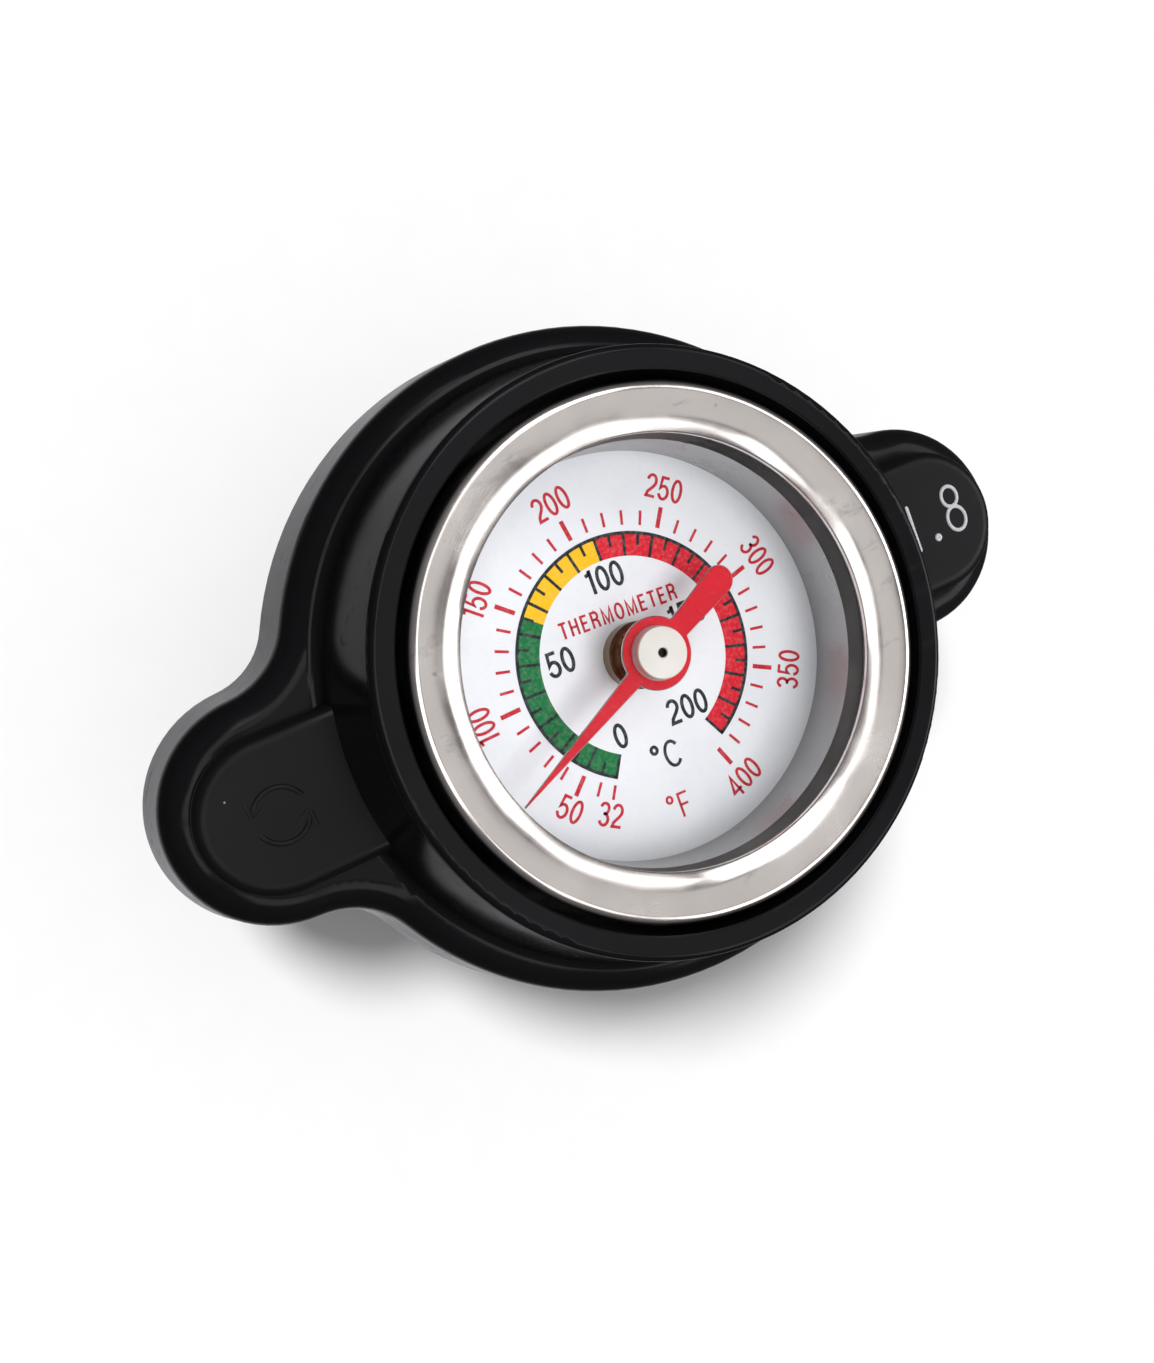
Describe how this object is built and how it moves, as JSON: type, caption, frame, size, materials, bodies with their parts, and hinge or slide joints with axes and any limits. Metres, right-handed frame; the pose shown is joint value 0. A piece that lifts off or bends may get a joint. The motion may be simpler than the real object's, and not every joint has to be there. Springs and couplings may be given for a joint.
{
  "type": "radiator pressure cap with dial thermometer",
  "caption": "Two-eared radiator pressure cap with a built-in dial thermometer, bayonet lugs, sprung pressure valve and vacuum valve.",
  "frame": {"origin": "centre of the upper gasket's underside, which sits on the lip of the filler neck", "axes": "+Z along the cap's axis towards the dial; +X along the two ears, towards the ear with the pressure rating; +Y completes the frame, towards the top of the dial"},
  "size_m": [0.0658, 0.047, 0.0372],
  "materials": {
    "black_plastic": "moulded, glossy black",
    "polished_steel": "polished stainless steel",
    "glass": "clear flat glass",
    "black_rubber": "black rubber",
    "satin_aluminium": "turned and polished aluminium",
    "stainless": "drawn stainless steel",
    "dial_white": "white enamelled aluminium, printed",
    "brass": "turned brass",
    "pointer_red": "gloss red enamel",
    "nickel": "turned nickel plate",
    "zinc_steel": "zinc-plated pressed steel",
    "spring_steel": "spring steel wire",
    "bimetal": "bimetal wire"
  },
  "bodies": {
    "cap": {"cover": "black_plastic", "bezel_ring": "polished_steel", "lens_glass": "glass", "lens_gasket": "black_rubber", "spacer_ring": "satin_aluminium", "gauge_case": "stainless", "dial_plate": "dial_white", "brass_bushing": "brass", "probe_tube": "stainless", "probe_plug": "stainless", "bimetal_coil": "bimetal", "guide_bush": "brass", "stem_oring": "black_rubber", "probe_retainer": "spring_steel", "centre_rivet": "brass", "bayonet_shell": "zinc_steel", "spring_disc": "stainless", "upper_gasket": "black_rubber"},
    "needle": {"pointer": "pointer_red", "pointer_pin": "nickel", "pointer_boss": "brass", "spindle": "stainless", "coil_collar": "brass"},
    "cage": {"valve_cage": "zinc_steel", "cage_ring": "zinc_steel", "pressure_spring": "spring_steel"},
    "pressure_valve": {"pressure_plate": "zinc_steel", "seal_plate": "zinc_steel", "pressure_seal": "black_rubber", "seal_eyelet": "brass", "vacuum_spring": "spring_steel"},
    "vacuum_valve_body": {"vacuum_valve": "brass", "vacuum_circlip": "spring_steel"}
  },
  "joints": [
    {"name": "pointer_turn", "type": "hinge", "parent": "cap", "child": "needle", "pos_m": [0, 0, 0.0098], "axis": [0, 0, -1], "range_deg": [-34, 274], "stiffness_Nm_per_rad": 0.0001},
    {"name": "cage_swivel", "type": "hinge", "parent": "cap", "child": "cage", "pos_m": [0, 0, 0.0017], "axis": [0, 0, 1], "continuous": true},
    {"name": "pressure_valve_lift", "type": "slide", "parent": "cage", "child": "pressure_valve", "axis": [0, 0, 1], "range_m": [0, 0.003], "stiffness_N_per_m": 4000, "springref_m": -0.003, "deforming": ["pressure_spring"]},
    {"name": "vacuum_valve_drop", "type": "slide", "parent": "pressure_valve", "child": "vacuum_valve_body", "axis": [0, 0, -1], "range_m": [0, 0.0015], "stiffness_N_per_m": 60, "springref_m": -0.002, "deforming": ["vacuum_spring"]}
  ]
}
